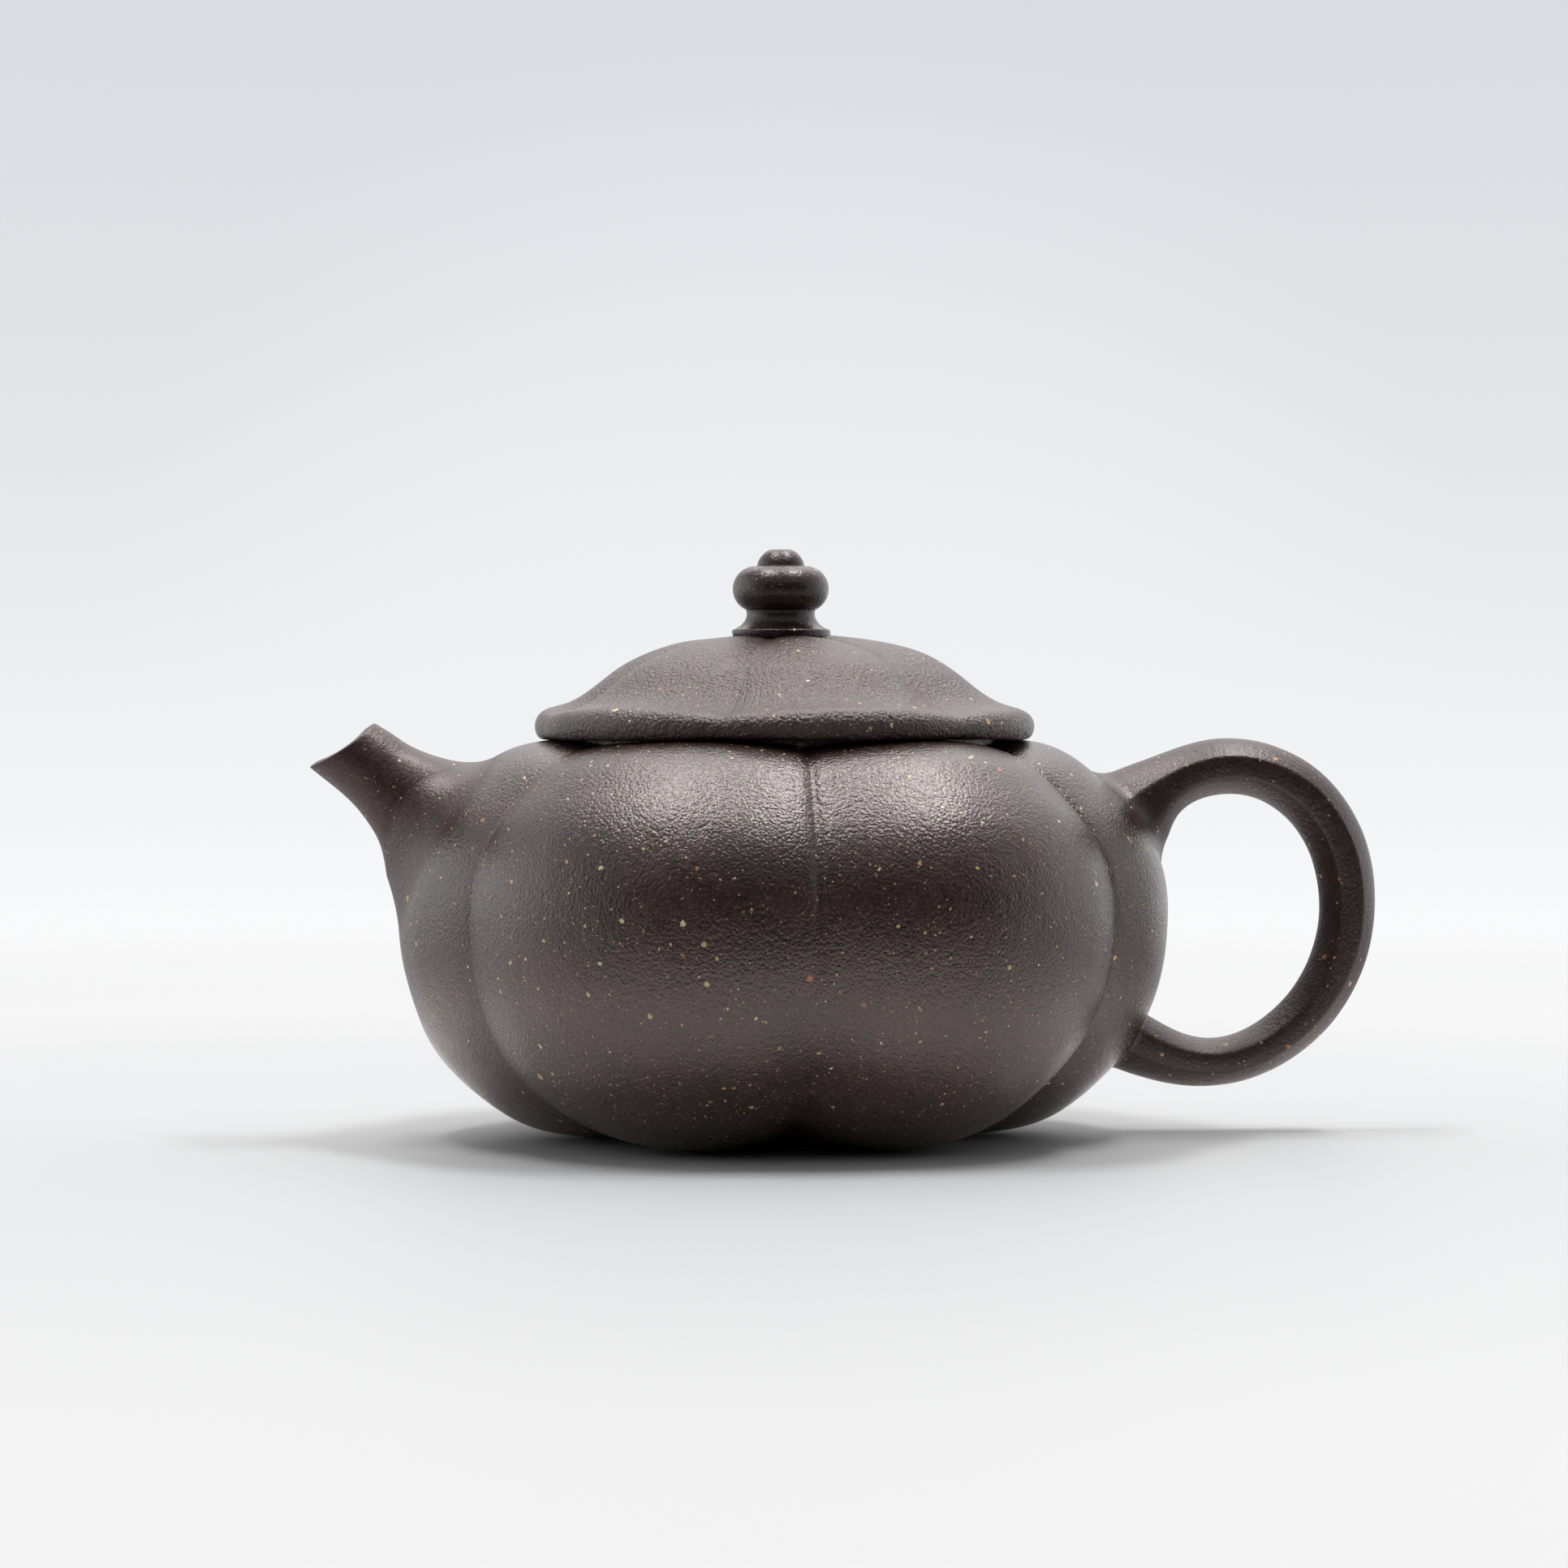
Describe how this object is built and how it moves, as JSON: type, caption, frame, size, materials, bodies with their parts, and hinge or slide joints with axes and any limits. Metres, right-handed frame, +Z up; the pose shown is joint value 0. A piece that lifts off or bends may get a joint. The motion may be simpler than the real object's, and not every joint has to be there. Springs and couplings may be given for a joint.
{
  "type": "teapot",
  "caption": "Small lobed unglazed clay teapot with a short spout, a ring handle and a lift-off lid with a stacked knob; brews and pours tea",
  "frame": {"origin": "on the pot's axis, in the plane of the foot ring that it stands on", "axes": "+Z up along the axis of pot, lid and knob; +X toward the handle; -X toward the spout; +Y to the pot's other side, right-handed"},
  "size_m": [0.1386, 0.0949, 0.0756],
  "materials": {
    "pot_clay": "satin unglazed stoneware with fine coloured grains",
    "lid_clay": "satin unglazed stoneware with fine coloured grains",
    "knob_clay": "unglazed stoneware, burnished by handling"
  },
  "bodies": {
    "pot": {"body_wall": "pot_clay", "base_disc": "pot_clay", "shoulder_disc": "pot_clay", "mouth_ring": "pot_clay", "spout": "pot_clay", "strainer": "pot_clay", "handle": "pot_clay"},
    "lid": {"lid_disc": "lid_clay", "lid_edge_ring": "lid_clay", "lid_flange": "lid_clay", "knob_neck": "knob_clay", "knob_bead": "knob_clay", "knob_tip": "knob_clay"}
  },
  "joints": [
    {"name": "lid_lift", "type": "slide", "parent": "pot", "child": "lid", "axis": [0, 0, 1], "range_m": [0, 0.06]}
  ]
}
